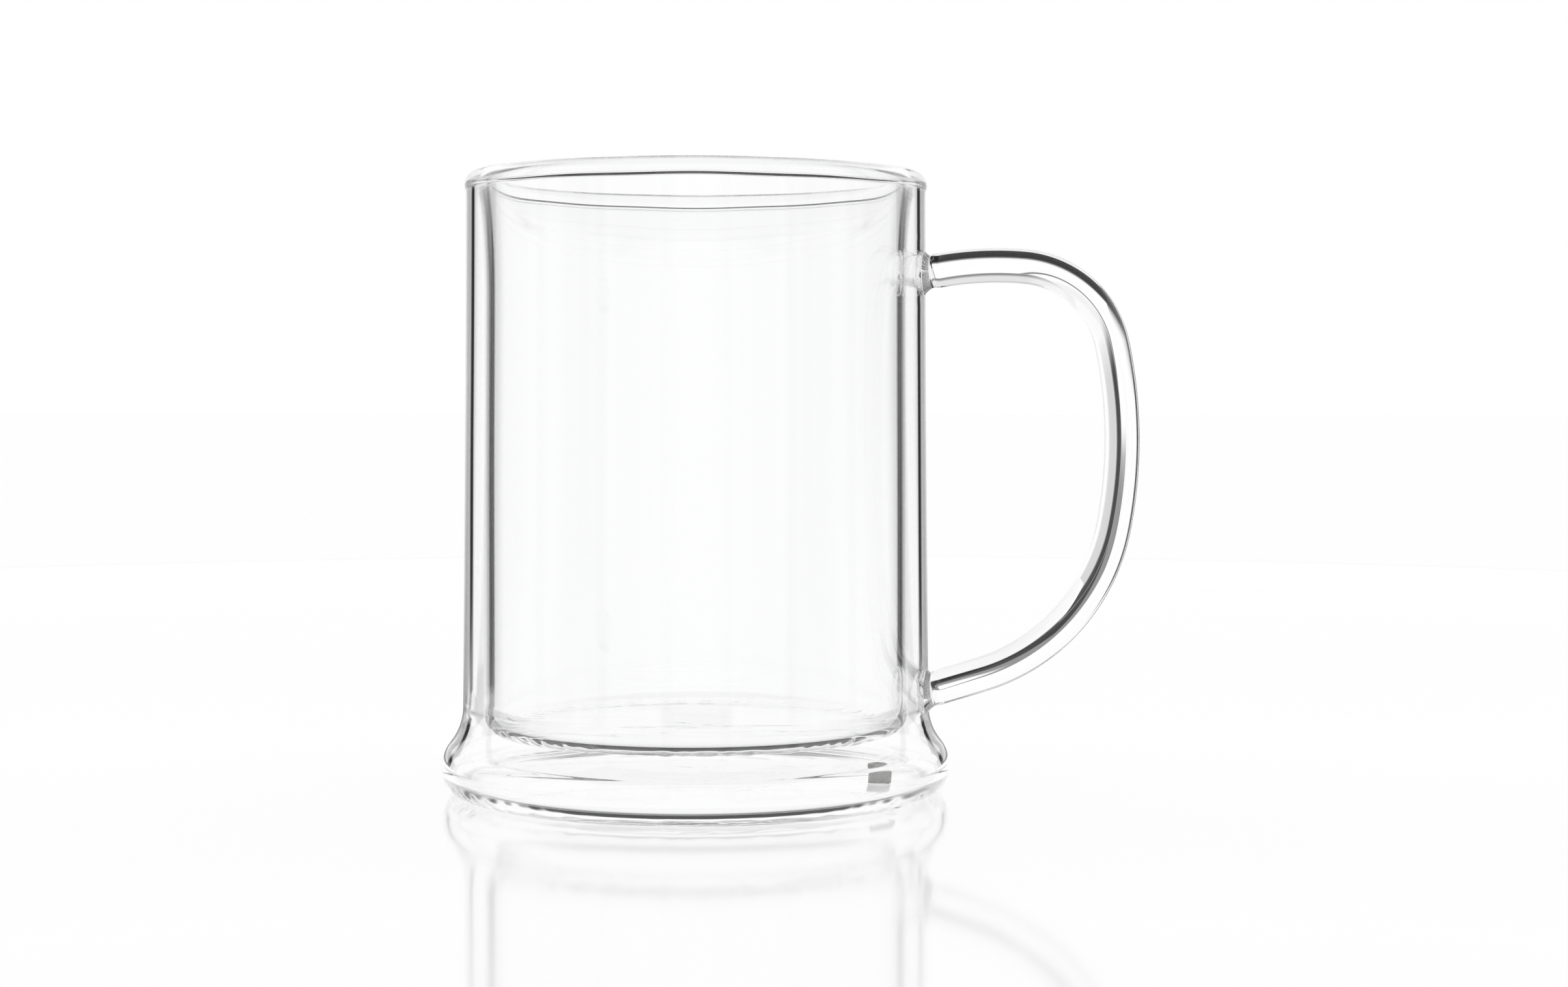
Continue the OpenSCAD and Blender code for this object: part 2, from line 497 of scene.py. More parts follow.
class TurnedTree(GlassTree):
    """Node tree that revolves a section, drawn as radius and height, into a closed body."""

    # The path circle's radius, from which the section's radii are measured
    path_r = 10 * MM

    def __init__(self) -> None:
        """Builds the tree, with the number of Segments as an input."""
        super().__init__("turned_glass", {"Segments": "Int"})
        add = self.board.add
        path = {"Resolution": self.given["Segments"], "Radius": self.path_r}
        circle = add("GeometryNodeCurvePrimitiveCircle", path).outputs["Curve"]
        sweep = {"Curve": circle, "Profile Curve": self.curve}
        turned = add("GeometryNodeCurveToMesh", sweep).outputs["Mesh"]
        merge = {"Geometry": turned, "Distance": SAME_POINT}
        joined = add("GeometryNodeMergeByDistance", merge).outputs["Geometry"]
        self.end(add("GeometryNodeFlipFaces", {"Mesh": joined}).outputs["Mesh"])

    def place(self, section: Section) -> list[Point]:
        """The section's points as the tree takes them: radius from the path circle, and height downwards."""
        return [(r - self.path_r, -z, 0.0) for r, z in section.points]


class SweptTree(GlassTree):
    """Node tree that sweeps a round rod along a path."""

    def __init__(self) -> None:
        """Builds the tree, with the Rod Radius and the number of Sides as inputs."""
        super().__init__("swept_rod", {"Rod Radius": "Float", "Sides": "Int"})
        round_rod = {"Resolution": self.given["Sides"], "Radius": self.given["Rod Radius"]}
        ring = self.board.add("GeometryNodeCurvePrimitiveCircle", round_rod).outputs["Curve"]
        sweep = {"Curve": self.curve, "Profile Curve": ring, "Fill Caps": True}
        self.end(self.board.add("GeometryNodeCurveToMesh", sweep).outputs["Mesh"])


class Workshop:
    """Turns arrays and trees into finished pieces that ride on the mug's body."""

    def __init__(self, hand: HandWork) -> None:
        """Makes the finishes and the turning tree that the pieces share.

        Args:
            hand: the waves that all glass pieces share.
        """
        self.hand = hand
        self.glass = GlassFinish("blown_glass").material()
        self.fused = ClearFinish("fused_glass_inside").material()
        self.silicone = SiliconeFinish().material()
        self.turning = TurnedTree()

    @staticmethod
    def mesh_object(name: str, points: list[Point], edges: list[Face], faces: list[Face]) -> bpy.types.Object:
        """Makes a mesh object at the origin.

        Args:
            name: the object's name.
            points: its points.
            edges: pairs of point numbers, where it has no faces.
            faces: tuples of point numbers.

        Returns:
            The object, in the scene.
        """
        mesh = bpy.data.meshes.new(name)
        mesh.from_pydata([tuple(p) for p in points], edges, faces)
        made = bpy.data.objects.new(name, mesh)
        bpy.context.scene.collection.objects.link(made)
        return made

    def grow(
        self, name: str, points: list[Point], closed: bool, source: GlassTree, **values: object
    ) -> bpy.types.Object:
        """Runs a node tree on a chain of edges and keeps the result as a plain mesh.

        Args:
            name: the object's name.
            points: the chain's points.
            closed: whether the last point joins the first.
            source: the node tree.
            values: the tree's inputs by name, with _ for a space.

        Returns:
            The object, in the scene.
        """
        count = len(points)
        edges = [(i, (i + 1) % count) for i in range(count if closed else count - 1)]
        piece = self.mesh_object(name, points, edges, [])
        values["Glass"] = self.glass
        modifier = piece.modifiers.new(source.tree.name, "NODES")
        modifier.node_group = source.tree
        for item in source.tree.interface.items_tree:
            key = item.name.replace(" ", "_")
            if item.item_type == "SOCKET" and item.in_out == "INPUT" and key in values:
                modifier[item.identifier] = values[key]
        graph = bpy.context.evaluated_depsgraph_get()
        solid = bpy.data.meshes.new_from_object(piece.evaluated_get(graph), depsgraph=graph)
        piece.modifiers.remove(modifier)
        raw = piece.data
        piece.data = solid
        bpy.data.meshes.remove(raw)
        solid.name = piece.name
        return piece

    def turn(self, name: str, node: str, drawn: Section, closed: bool, seam: float) -> bpy.types.Object:
        """Turns a section into a glass piece that is fused where it lies on the seam.

        Args:
            name: the piece's name.
            node: the solid that it stands for.
            drawn: the section.
            closed: whether the section's last point joins its first.
            seam: the seam's height.

        Returns:
            The piece.
        """
        piece = self.grow(name, self.turning.place(drawn), closed, self.turning, Segments=SEGMENTS)
        centres = np.empty(len(piece.data.polygons) * 3, np.float32)
        piece.data.polygons.foreach_get("center", centres)
        on_seam = np.abs(centres[2::3] - seam) < ON_SEAM
        return self.finish_glass(piece, node, np.where(on_seam, Skin.FUSED.value, Skin.BARE.value))

    def finish_glass(self, piece: bpy.types.Object, node: str, skins: np.ndarray) -> bpy.types.Object:
        """Gives a glass piece its waves, its two skins, smooth shading and its place on the body.

        Args:
            piece: the object.
            node: the solid that it stands for.
            skins: for each face, the value of its Skin.

        Returns:
            The object.
        """
        mesh = piece.data
        points = np.empty(len(mesh.vertices) * 3, np.float32)
        mesh.vertices.foreach_get("co", points)
        moved = self.hand.shift(points.reshape(-1, 3).astype(float))
        mesh.vertices.foreach_set("co", moved.astype(np.float32).ravel())
        mesh.materials.clear()
        mesh.materials.append(self.glass)
        mesh.materials.append(self.fused)
        mesh.polygons.foreach_set("material_index", skins.astype(np.int32))
        return self.settle(piece, node)

    def settle(self, piece: bpy.types.Object, node: str) -> bpy.types.Object:
        """Smooths a finished piece, ties it to the body and hides its solid.

        Args:
            piece: the object.
            node: the solid that it stands for.

        Returns:
            The object.
        """
        mesh = piece.data
        mesh.polygons.foreach_set("use_smooth", np.ones(len(mesh.polygons), bool))
        mesh.update()
        mesh.set_sharp_from_angle(angle=CRISP_ANGLE)
        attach(piece, BODY)
        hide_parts(node)
        return piece


@dataclass
class Handle:
    """The bent glass rod and the two collars that weld it to the wall."""

    sizes: MugSizes
    rod_r: float = 3.4 * MM
    upper_drop: float = 20 * MM
    lower_z: float = 20.2 * MM
    reach: float = 38.3 * MM
    leave_angle: float = 10.0
    crown_angle: float = 5.0
    back_top_angle: float = 12.0
    back_bottom_angle: float = 11.0
    return_angle: float = 18.0
    shoulder_r: float = 19 * MM
    lower_bend_r: float = 38 * MM
    weld_length: float = 2.4 * MM
    weld_flare: float = 1.1 * MM
    neck_groove: float = 0.3 * MM
    bend_steps: int = 36
    collar_steps: int = 24
    halvings: int = 50

    def __post_init__(self) -> None:
        """Works out where the rod leaves the wall, and with which heading."""
        self.sides = 4 * WELD_CELLS
        self.upper = self.foot(self.sizes.top - self.upper_drop)
        self.lower = self.foot(self.lower_z)
        self.welds = {"upper": (self.upper, self.leave_angle), "lower": (self.lower, self.return_angle)}

    def foot(self, height: float) -> np.ndarray:
        """Where a rod's axis meets the wall at a height, as x and z."""
        return np.array((float(self.sizes.wall_r(height)), height))

    @staticmethod
    def along(degrees: float) -> np.ndarray:
        """Unit step along a heading, as x and z: 0 points away from the mug, -90 down."""
        return np.array((math.cos(math.radians(degrees)), math.sin(math.radians(degrees))))

    @staticmethod
    def travel(start: float, end: float) -> np.ndarray:
        """Travel along an arc of radius 1 that turns down from one heading to another."""
        a, b = math.radians(start), math.radians(end)
        return np.array((math.sin(a) - math.sin(b), math.cos(b) - math.cos(a)))

    def path(self) -> list[np.ndarray]:
        """The rod's centreline, whose crown and back take up what the set bends leave open.

        Returns:
            Points as x and z, from the upper collar to the lower one.
        """
        leave, crown = self.leave_angle, -self.crown_angle
        back, bend, home = self.back_top_angle - 90, -90 - self.back_bottom_angle, self.return_angle - 180
        start = self.upper + self.weld_length * self.along(leave)
        end = self.lower + self.weld_length * self.along(self.return_angle)
        widest = self.upper[0] + self.reach
        shoulder = self.shoulder_r * self.travel(crown, back)
        lower = self.lower_bend_r * self.travel(bend, home)
        crown_w = widest - start[0] - shoulder[0]
        run_w = widest - end[0] + lower[0]
        drop = start[1] - end[1] + shoulder[1] + lower[1]
        unit = self.travel(leave, crown)
        slope = unit[1] / unit[0]
        run_slope = math.tan(math.radians(self.return_angle))
        back_out, back_in = self.travel(back, -90)[0], self.travel(-90, bend)[0]
        back_z = self.travel(back, bend)[1]
        gain = back_out * slope + back_in * run_slope - back_z
        back_r = (drop + crown_w * slope - run_w * run_slope) / gain
        crown_r = (crown_w - back_r * back_out) / unit[0]
        radii = (crown_r, self.shoulder_r, back_r, self.lower_bend_r)
        headings = (leave, crown, back, bend, home)
        points = [start]
        for radius, first, last in zip(radii, headings, headings[1:]):
            origin = points[-1]
            for i in range(1, self.bend_steps + 1):
                heading = first + (last - first) * i / self.bend_steps
                points.append(origin + radius * self.travel(first, heading))
        points.append(end)
        return points

    def build_rod(self, shop: Workshop) -> bpy.types.Object:
        """Sweeps the rod along its path.

        Args:
            shop: the workshop.

        Returns:
            The rod.
        """
        line = [(float(x), 0.0, float(z)) for x, z in self.path()]
        piece = shop.grow("handle_rod", line, False, SweptTree(), Rod_Radius=self.rod_r, Sides=self.sides)
        corners = np.empty(len(piece.data.polygons), np.int32)
        piece.data.polygons.foreach_get("loop_total", corners)
        return shop.finish_glass(piece, "handle", np.where(corners > 4, Skin.FUSED.value, Skin.BARE.value))

    def collar_points(
        self, foot: np.ndarray, heading: float, radius: np.ndarray, rise: np.ndarray
    ) -> np.ndarray:
        """Points round a rod's axis, from the lower left corner of a wall patch.

        Args:
            foot: where the axis meets the wall, as x and z.
            heading: the axis's angle above level, in degrees.
            radius: distance from the axis, one for each angle.
            rise: distance along the axis, one for each angle.

        Returns:
            Rows of x, y and z.
        """
        turn = np.radians(225 + 360 * np.arange(self.sides) / self.sides)
        axis = self.along(heading)
        upward = np.array((-axis[1], axis[0]))
        x = foot[0] + rise * axis[0] + radius * np.sin(turn) * upward[0]
        z = foot[1] + rise * axis[1] + radius * np.sin(turn) * upward[1]
        return np.column_stack((x, radius * np.cos(turn), z))

    def footprint(self, foot: np.ndarray, heading: float) -> tuple[np.ndarray, np.ndarray]:
        """Where a collar's edge lies on the wall.

        Args:
            foot: where the rod's axis meets the wall, as x and z.
            heading: the axis's angle above level, in degrees.

        Returns:
            Rows of x, y and z, and how far along the axis each one is.
        """
        radius = np.full(self.sides, self.rod_r + self.weld_flare)
        low = np.full(self.sides, -4 * self.weld_length)
        high = np.full(self.sides, self.weld_length)
        for _ in range(self.halvings):
            middle = (low + high) / 2
            at = self.collar_points(foot, heading, radius, middle)
            outside = np.hypot(at[:, 0], at[:, 1]) > self.sizes.wall_r(at[:, 2])
            low, high = np.where(outside, low, middle), np.where(outside, middle, high)
        return self.collar_points(foot, heading, radius, high), high

    def build_collar(self, shop: Workshop, end: str) -> bpy.types.Object:
        """Builds one collar, which flares from the rod's end down to the wall.

        Args:
            shop: the workshop.
            end: the rod's end, upper or lower.

        Returns:
            The collar.
        """
        foot, heading = self.welds[end]
        edge, seat = self.footprint(foot, heading)
        rings = [edge]
        for step in range(1, self.collar_steps + 1):
            share = step / self.collar_steps
            bow = math.radians(90 * share)
            groove = self.neck_groove * math.sin(math.pi * share**2) ** 2
            radius = self.rod_r + self.weld_flare * (1 - math.sin(bow)) - groove
            rise = self.weld_length - (self.weld_length - seat) * math.cos(bow)
            rings.append(self.collar_points(foot, heading, np.full(self.sides, radius), rise))
        ids = np.arange(len(rings) * self.sides).reshape(-1, self.sides).tolist()
        faces = [face for pair in zip(ids, ids[1:]) for face in band(*pair)]
        bare = len(faces)
        faces.append(tuple(ids[-1]))
        inner, disc = wall_disc(self.sizes, edge, ids[0], len(rings) * self.sides)
        faces += [face[::-1] for face in disc]
        skins = np.full(len(faces), Skin.FUSED.value)
        skins[:bare] = Skin.BARE.value
        piece = shop.mesh_object(f"{end}_weld_collar", np.vstack((*rings, inner)), [], faces)
        return shop.finish_glass(piece, f"{end}_handle_weld", skins)


def wall_disc(
    sizes: MugSizes, edge: np.ndarray, ids: list[int], free: int, rings: int = 5
) -> tuple[np.ndarray, list[Face]]:
    """Fills the wall's surface inside a collar's footprint, with faces that look away from the mug.

    Args:
        sizes: the mug's sizes.
        edge: the footprint's points, on the wall.
        ids: numbers of the footprint's points.
        free: number that the first new point gets.
        rings: number of rings from the edge to the middle.

    Returns:
        The new points, and the faces.
    """
    flat = edge[:, 1:]
    middle = flat.mean(axis=0)
    shrunk = [flat + (middle - flat) * ring / rings for ring in range(1, rings)]
    spread = np.vstack((*shrunk, middle[None, :]))
    radius = sizes.wall_r(spread[:, 1])
    points = np.column_stack((np.sqrt(radius**2 - spread[:, 0] ** 2), spread))
    faces: list[Face] = []
    for ring in range(1, rings + 1):
        count = len(edge) if ring < rings else 1
        inner = [free + k % count for k in range(len(edge))]
        faces += band(ids, inner)
        ids = inner
        free += count
    return points, faces


@dataclass
class OuterShell:
    """The outer wall with its bell foot and base, open for the plug and fused to the collars."""

    sizes: MugSizes
    handle: Handle
    plug_x: float
    plug_hole_r: float
    weld_window: float = 6.8 * MM
    plug_window: float = 3.7 * MM
    blend_rings: int = 4
    base_rows: int = 24
    cavity_rows: int = 40
    # Rows below the lower weld, between the welds and above the upper one
    wall_rows: tuple[int, int, int] = (12, 24, 10)

    def __post_init__(self) -> None:
        """Starts with no points and no faces."""
        self.points: list[Point] = []
        self.grid: list[list[int]] = []
        self.faces: list[Face] = []
        self.skins: list[int] = []

    def section(self) -> Section:
        """Draws the half section from the underside's middle, over the wall, to the cavity's middle.

        Returns:
            The section.
        """
        s = self.sizes
        flare = (s.foot_r - s.flare_round, s.heel)
        inner_heel = s.heel - s.base
        drawn = Section()
        for radius in self.dome_stops():
            drawn.to(radius, float(s.dome_z(radius)))
        drawn.to(s.ring_out_r, 0.0, 4)
        drawn.arc((s.ring_out_r, s.heel), s.heel, (-90, 0))
        drawn.arc(flare, s.flare_round, (0, s.flare_angle))
        for height in self.wall_stops():
            drawn.to(float(s.wall_r(height)), height)
        drawn.to(s.gap_out_r, s.seam, 3)
        drawn.to(s.body_r - s.outer_wall, s.flare_top, self.cavity_rows)
        hollow = (s.body_r + s.flare_hollow, s.flare_top)
        drawn.arc(hollow, s.flare_hollow + s.outer_wall, (180, 180 + s.flare_angle))
        drawn.arc(flare, s.flare_round - s.outer_wall, (s.flare_angle, 0))
        drawn.arc((s.foot_r - s.outer_wall - inner_heel, s.heel), inner_heel, (0, -90))
        drawn.to(s.ring_in_r, s.base, 4)
        for radius in reversed(self.dome_stops()[:-1]):
            drawn.to(radius, s.base + float(s.dome_z(radius)))
        return drawn

    def dome_stops(self) -> list[float]:
        """Radii of the rows on the two faces of the base, with even rows across the plug's window.

        Returns:
            The radii.
        """
        low, high = self.plug_x - self.plug_window, self.plug_x + self.plug_window
        stops = list(np.linspace(0.0, low, self.base_rows))
        stops += list(np.linspace(low, high, PLUG_CELLS + 1)[1:])
        return [float(r) for r in stops] + [self.sizes.ring_in_r]

    def wall_stops(self) -> list[float]:
        """Heights of the rows on the wall, with even rows across the windows of the two welds.

        Returns:
            The heights.
        """
        s = self.sizes
        marks = [s.flare_top - s.flare_hollow * math.sin(math.radians(s.flare_angle))]
        for middle in (self.handle.lower[1], self.handle.upper[1]):
            marks += [middle - self.weld_window, middle + self.weld_window]
        marks.append(s.seam)
        below, between, above = self.wall_rows
        stops = marks[:1]
        for low, high, steps in zip(marks, marks[1:], (below, WELD_CELLS, between, WELD_CELLS, above)):
            stops += [float(z) for z in np.linspace(low, high, steps + 1)[1:]]
        return stops

    def add_points(self, rows: np.ndarray) -> list[int]:
        """Adds points and gives their numbers."""
        self.points += [tuple(p) for p in rows]
        return list(range(len(self.points) - len(rows), len(self.points)))

    def add_faces(self, faces: list[Face], skin: Skin = Skin.BARE) -> None:
        """Adds faces and says what they are."""
        self.faces += faces
        self.skins += [skin.value] * len(faces)

    def patch(
        self, first_row: int, cells: int, loop: np.ndarray, lift: Callable[[np.ndarray], np.ndarray]
    ) -> list[int]:
        """Joins the edge of a square window to a loop that lies inside it on the same surface.

        Args:
            first_row: the window's first row.
            cells: cells along each side of the window, which is centred on angle 0.
            loop: the loop's points, in order from the window's first corner.
            lift: gives points on the surface for points near it.

        Returns:
            Numbers of the loop's points.
        """
        left, last_row = -cells // 2, first_row + cells
        right = left + cells
        edge = [(first_row, left + k) for k in range(cells)]
        edge += [(first_row + k, right) for k in range(cells)]
        edge += [(last_row, right - k) for k in range(cells)]
        edge += [(last_row - k, left) for k in range(cells)]
        ids = [self.grid[row][column % SEGMENTS] for row, column in edge]
        border = np.array([self.points[i] for i in ids])
        for ring in range(1, self.blend_rings + 1):
            share = ring / self.blend_rings
            fresh = self.add_points(lift(border + (loop - border) * share) if share < 1 else loop)
            self.add_faces(band(ids, fresh))
            ids = fresh
        return ids

    def on_wall(self, near: np.ndarray) -> np.ndarray:
        """Finds points of the wall's outside with the angle and height of points near it.

        Args:
            near: rows of x, y and z.

        Returns:
            Rows of x, y and z on the wall.
        """
        turn = np.arctan2(near[:, 1], near[:, 0])
        radius = self.sizes.wall_r(near[:, 2])
        return np.column_stack((radius * np.cos(turn), radius * np.sin(turn), near[:, 2]))

    def on_base(self, near: np.ndarray, lift: float) -> np.ndarray:
        """Points of the underside, or of the cavity's floor above it, with the x and y of points near it."""
        return np.column_stack((near[:, :2], lift + self.sizes.dome_z(np.hypot(near[:, 0], near[:, 1]))))

    def hole_loop(self, lift: float, start: float, way: int) -> np.ndarray:
        """The plug hole's edge on one face of the base.

        Args:
            lift: height of the face above the underside.
            start: the loop's first angle, in degrees.
            way: 1 or -1, for the loop's sense seen from above.

        Returns:
            Rows of x, y and z.
        """
        turn = np.radians(start + way * 360 * np.arange(4 * PLUG_CELLS) / (4 * PLUG_CELLS))
        flat = (self.plug_x + self.plug_hole_r * np.cos(turn), self.plug_hole_r * np.sin(turn))
        return self.on_base(np.column_stack(flat), lift)

    def line_hole(self, under: list[int], floor: list[int]) -> None:
        """Lines the plug's hole between its two edges, which run opposite ways round.

        Args:
            under: numbers of the lower edge's points.
            floor: numbers of the upper edge's points.
        """
        spots = [self.points[i] for i in (under[0], *floor)]
        first, *turn = (math.atan2(spot[1], spot[0] - self.plug_x) for spot in spots)
        start = int(np.argmin([abs(math.remainder(t - first, 2 * math.pi)) for t in turn]))
        self.add_faces(band(under, [floor[(start - k) % len(floor)] for k in range(len(floor))]))

    def build(self, shop: Workshop) -> bpy.types.Object:
        """Builds the shell.

        Args:
            shop: the workshop.

        Returns:
            The shell.
        """
        s, handle = self.sizes, self.handle
        rows = self.section().points
        self.points, self.grid = turned_rings(rows, SEGMENTS, 0.0)
        upper, lower = handle.upper[1] - self.weld_window, handle.lower[1] - self.weld_window
        near, far = self.plug_x - self.plug_window, self.plug_x + self.plug_window
        corners = ((s.wall_r(upper), upper), (s.wall_r(lower), lower))
        corners += ((near, s.dome_z(near)), (far, s.base + s.dome_z(far)))
        starts = [int(np.argmin([math.hypot(r - at[0], z - at[1]) for r, z in rows])) for at in corners]
        windows = list(zip(starts, (WELD_CELLS, WELD_CELLS, PLUG_CELLS, PLUG_CELLS)))
        for j, (low, high) in enumerate(zip(self.grid, self.grid[1:])):
            fused = min(rows[j][1], rows[j + 1][1]) > s.seam - SAME_POINT
            open_cells: set[int] = set()
            for row, cells in windows:
                if 0 <= j - row < cells:
                    open_cells.update(column % SEGMENTS for column in range(-cells // 2, cells // 2))
            ring = [face for i, face in enumerate(band(low, high)) if i not in open_cells]
            self.add_faces(ring, Skin.FUSED if fused else Skin.BARE)
        for row, weld in zip(starts, handle.welds.values()):
            edge, _ = handle.footprint(*weld)
            ids = self.patch(row, WELD_CELLS, edge, self.on_wall)
            inner, disc = wall_disc(s, edge, ids, len(self.points))
            self.add_points(inner)
            self.add_faces(disc, Skin.FUSED)
        loops = ((starts[2], 0.0, 225, -1), (starts[3], s.base, -45, 1))
        edges = []
        for row, lift, start, way in loops:
            hole = self.hole_loop(lift, start, way)
            edges.append(self.patch(row, PLUG_CELLS, hole, lambda points: self.on_base(points, lift)))
        self.line_hole(*edges)
        piece = shop.mesh_object("outer_shell_glass", self.points, [], self.faces)
        return shop.finish_glass(piece, "outer_shell", np.array(self.skins))


@dataclass
class InnerCup:
    """The drinking cup, whose mouth opens out to meet the rim."""

    sizes: MugSizes
    floor_rows: int = 27
    wall_rows: int = 36

    def easing(self, drawn: Section, base_r: float, out: float, rising: bool) -> None:
        """Draws the gentle curve by which a wall opens out towards the rim.

        Args:
            drawn: the section.
            base_r: radius of the upright wall below.
            out: how far the curve goes out at the seam.
            rising: whether it is drawn from below.
        """
        s = self.sizes
        big = (s.cup_flare_h**2 + out**2) / (2 * out)
        angle = math.degrees(math.asin(s.cup_flare_h / big))
        drawn.arc((base_r + big, s.flare_z), big, (180, 180 - angle) if rising else (180 - angle, 180))

    def build(self, shop: Workshop) -> bpy.types.Object:
        """Turns the cup.

        Args:
            shop: the workshop.

        Returns:
            The cup.
        """
        s = self.sizes
        corner_r, inner_corner = s.cup_r - s.cup_corner, s.cup_corner - s.inner_wall
        inner_z = s.floor_z + inner_corner
        drawn = Section().to(0.0, s.cup_under).to(corner_r, s.cup_under, self.floor_rows)
        drawn.arc((corner_r, s.cup_under + s.cup_corner), s.cup_corner, (-90, 0))
        drawn.to(s.cup_r, s.flare_z, self.wall_rows)
        self.easing(drawn, s.cup_r, s.cup_mouth_r - s.cup_r, rising=True)
        drawn.to(s.bore_mouth_r, s.seam, 3)
        self.easing(drawn, s.bore_r, s.cup_flare_in, rising=False)
        drawn.to(s.bore_r, inner_z, self.wall_rows)
        drawn.arc((s.bore_r - inner_corner, inner_z), inner_corner, (0, -90))
        drawn.to(0.0, s.floor_z, self.floor_rows)
        return shop.turn("inner_cup_glass", "inner_cup", drawn, False, s.seam)


@dataclass
class Rim:
    """The fused rim that joins the two walls, arched over the air gap."""

    sizes: MugSizes

    def build(self, shop: Workshop) -> bpy.types.Object:
        """Turns the rim.

        Args:
            shop: the workshop.

        Returns:
            The rim.
        """
        s = self.sizes
        half_gap = (s.gap_out_r - s.cup_mouth_r) / 2
        neck = math.degrees(math.asin(half_gap / s.channel))
        channel = (s.cup_mouth_r + half_gap, s.seam + s.channel * math.cos(math.radians(neck)))
        crown_r, lip_z = (s.rim_r + s.bore_mouth_r) / 2, s.seam + s.lip
        drawn = Section().to(s.bore_mouth_r, s.seam).to(s.cup_mouth_r, s.seam, 3)
        drawn.arc(channel, s.channel, (270 - neck, neck - 90), 24)
        drawn.to(s.gap_out_r, s.seam).to(s.mouth_r, s.seam, 3)
        drawn.arc((s.mouth_r, lip_z), s.rim_r - s.mouth_r, (-90, 0), 8, s.lip)
        drawn.arc((crown_r, lip_z), s.rim_r - crown_r, (0, 90), 28, s.top - lip_z)
        drawn.arc((crown_r, s.seam), crown_r - s.bore_mouth_r, (90, 180), 32, s.top - s.seam)
        # The last point is the first one again
        drawn.points.pop()
        return shop.turn("rim_glass", "rim_weld", drawn, True, s.seam)


@dataclass
class VentPlug:
    """The silicone plug that closes the vent in the base."""

    sides: int = 64
    edge: float = 0.35 * MM
    clearance: float = 0.03 * MM
    dimple: float = 0.25 * MM
    dimple_mouth: float = 0.6
    dimple_floor: float = 0.4

    def __post_init__(self) -> None:
        """Reads the plug's place from its solid."""
        self.low, self.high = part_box("vent_plug")
        self.centre_x = (self.low.x + self.high.x) / 2
        self.radius = (self.high.x - self.low.x) / 2

    def build(self, shop: Workshop) -> bpy.types.Object:
        """Turns the plug about its own axis.

        Args:
            shop: the workshop.

        Returns:
            The plug.
        """
        body_r = self.radius - self.clearance
        edge_r, low, high = body_r - self.edge, self.low.z, self.high.z
        drawn = Section().to(0.0, low).to(edge_r, low, 4)
        drawn.arc((edge_r, low + self.edge), self.edge, (-90, 0), 8)
        drawn.to(body_r, high - self.edge, 8)
        drawn.arc((edge_r, high - self.edge), self.edge, (0, 90), 8)
        drawn.to(body_r * self.dimple_mouth, high, 2).to(body_r * self.dimple_floor, high - self.dimple, 3)
        drawn.to(0.0, high - self.dimple, 3)
        points, rings = turned_rings(drawn.points, self.sides, self.centre_x)
        faces = [face for pair in zip(rings, rings[1:]) for face in band(*pair)]
        piece = shop.mesh_object("vent_plug_silicone", points, [], faces)
        piece.data.materials.append(shop.silicone)
        return shop.settle(piece, "vent_plug")


class By(Enum):
    """What a step is measured by, in millimetres, degrees or shares; a direction counts as 1000 mm long."""

    RIGHT = "to the right of the mug's axis"
    BEHIND = "behind the axis, away from the viewer"
    HEIGHT = "above the table"
    DISTANCE = "from the axis"
    ACROSS = "the lesser of sideways and lengthways"
    TURN = "degrees to either side of the view"
    PITCH = "degrees past the last whole pitch of the posts"
    SHARE = "sideways share of the way from the axis"
    SLANT = "how level a ray comes in, from 0 for plumb to 1"
    EASED = "slant, less what is let through near the foot"
    REACH = "slant, less more to the right"
    FALL = "height at which a ray passed the handle"
    BESIDE = "lengthways on the side panels, and far off elsewhere"
    LINE = "from the thin leaning line"


class Ray(Enum):
    """How a ray that meets the studio left the glass."""

    THROUGH = "straight through walls"
    DEEP = "straight through walls and rod"
    ROD = "straight through one rod or bead"
    SKIN = "turned once within one wall"
    WALL = "turned once among walls"
    MANY = "turned several times"
    TRAPPED = "turned very often"
    NOT_ROD = "out of any glass, but not straight through a rod"
    MIRROR = "mirrored off the outside"


@dataclass(frozen=True)
class Step:
    """A smooth step: start up to low, and end from high on."""

    by: By
    low: float
    high: float
    start: float = 0.0
    end: float = 1.0


@dataclass(frozen=True)
class Card:
    """A dark card that one kind of ray meets, as dark as the product of its steps."""

    name: str
    ray: Ray
    steps: tuple[Step, ...]


# Least and most turns within the glass, and least and most passes through its surface
ENDLESS = 1000
ROUTES = {
    Ray.THROUGH: ((0, 0), (3, 9)),
    Ray.DEEP: ((0, 0), (10, ENDLESS)),
    Ray.ROD: ((0, 0), (0, 2)),
    Ray.SKIN: ((1, 1), (0, 2)),
    Ray.WALL: ((1, 1), (3, 7)),
    Ray.MANY: ((3, 8), (0, 11)),
    Ray.TRAPPED: ((9, ENDLESS), (0, ENDLESS)),
}

# Angle from one post to the next, and how dark cards are in front of the mug
POST_PITCH = 30
FRONT_SHARE = 0.4

